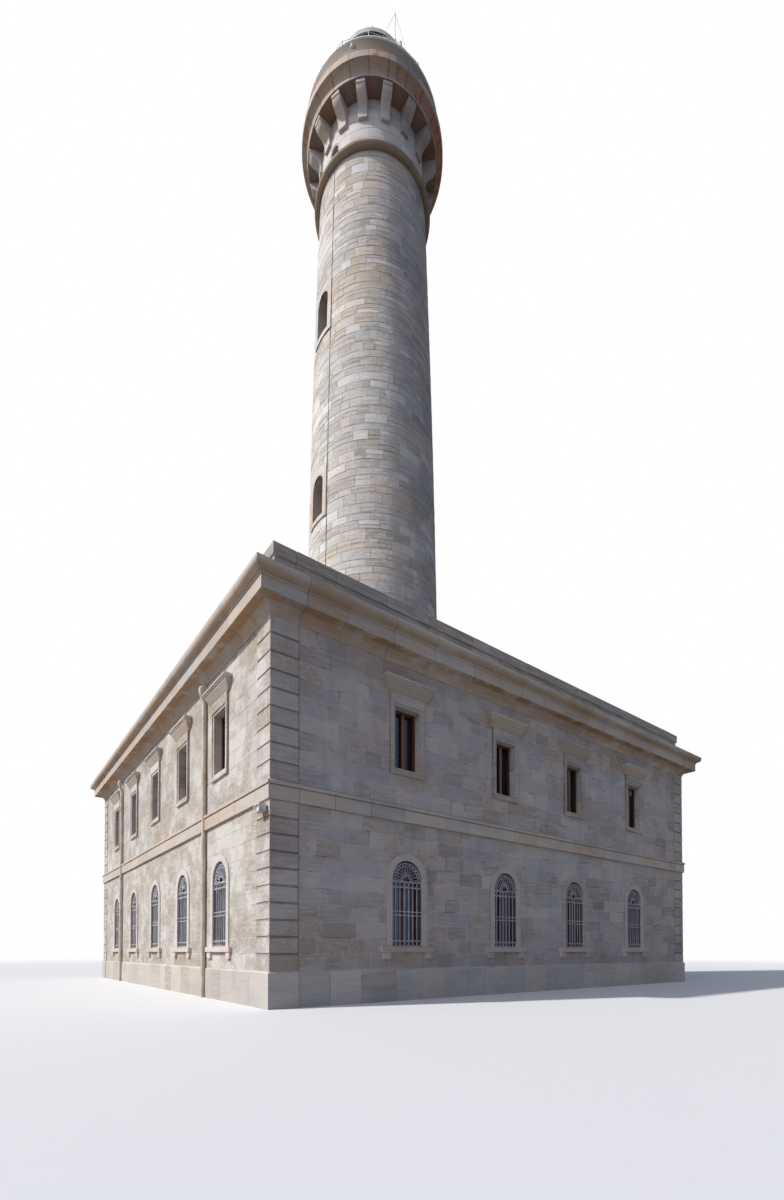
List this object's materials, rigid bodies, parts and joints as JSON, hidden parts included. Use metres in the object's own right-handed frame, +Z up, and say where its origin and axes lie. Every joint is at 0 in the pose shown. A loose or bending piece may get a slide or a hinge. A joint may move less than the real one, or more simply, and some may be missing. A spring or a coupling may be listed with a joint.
{
  "type": "stone lighthouse with a square keepers' building, as a 1:2 scale model",
  "caption": "Round stone lighthouse tower with a corbelled gallery and glazed lantern, rising through a square flat-roofed stone building with arched windows, as a scale model.",
  "frame": {"origin": "on the tower's axis at ground level, the centre of the building's plan", "axes": "+Z up; the four-bay front faces -Y and the five-bay left side faces -X"},
  "size_m": [12.1338, 12.2138, 27.22],
  "materials": {
    "wall_stone": "eroded ashlar",
    "trim_stone": "dressed, weathered",
    "tower_stone": "eroded ashlar",
    "head_stone": "dressed, weathered",
    "floor_stone": "flat, dusty",
    "casement_wood": "varnished, worn",
    "window_glass": "clear",
    "lantern_glass": "clear",
    "white_metal": "gloss paint, weathered",
    "pipe_metal": "matt paint, weathered"
  },
  "bodies": {
    "root": {"back_wall": "wall_stone", "back_wall_bays": "wall_stone", "belt_course": "trim_stone", "collar_ring": "head_stone", "corner_lamps": "white_metal", "corner_piers": "wall_stone", "corner_stones": "trim_stone", "cornice": "trim_stone", "dome_finial": "white_metal", "downpipes": "pipe_metal", "frieze_drum": "tower_stone", "front_wall": "wall_stone", "front_wall_bays": "wall_stone", "gallery_corbels": "head_stone", "gallery_fittings": "white_metal", "gallery_parapet": "head_stone", "gallery_slab": "head_stone", "ground_floor": "floor_stone", "lantern_curb": "white_metal", "lantern_dome": "white_metal", "lantern_frame": "white_metal", "lantern_glass": "lantern_glass", "lantern_roof_edge": "white_metal", "left_wall": "wall_stone", "left_wall_bays": "wall_stone", "lower_arch_surrounds": "trim_stone", "lower_casements": "casement_wood", "lower_sills": "trim_stone", "parapet": "trim_stone", "parapet_corners": "trim_stone", "plinth": "wall_stone", "railing_posts": "white_metal", "railing_wires": "white_metal", "right_wall": "wall_stone", "right_wall_bays": "wall_stone", "roof_deck": "floor_stone", "roof_vent_pipe": "white_metal", "tower_back_wall": "tower_stone", "tower_front_wall": "tower_stone", "tower_glass": "window_glass", "tower_window_surrounds": "tower_stone", "tower_window_walls": "tower_stone", "upper_architraves": "trim_stone", "upper_casements": "casement_wood", "upper_floor": "floor_stone", "upper_hoods": "trim_stone", "window_glass": "window_glass"}
  },
  "joints": []
}
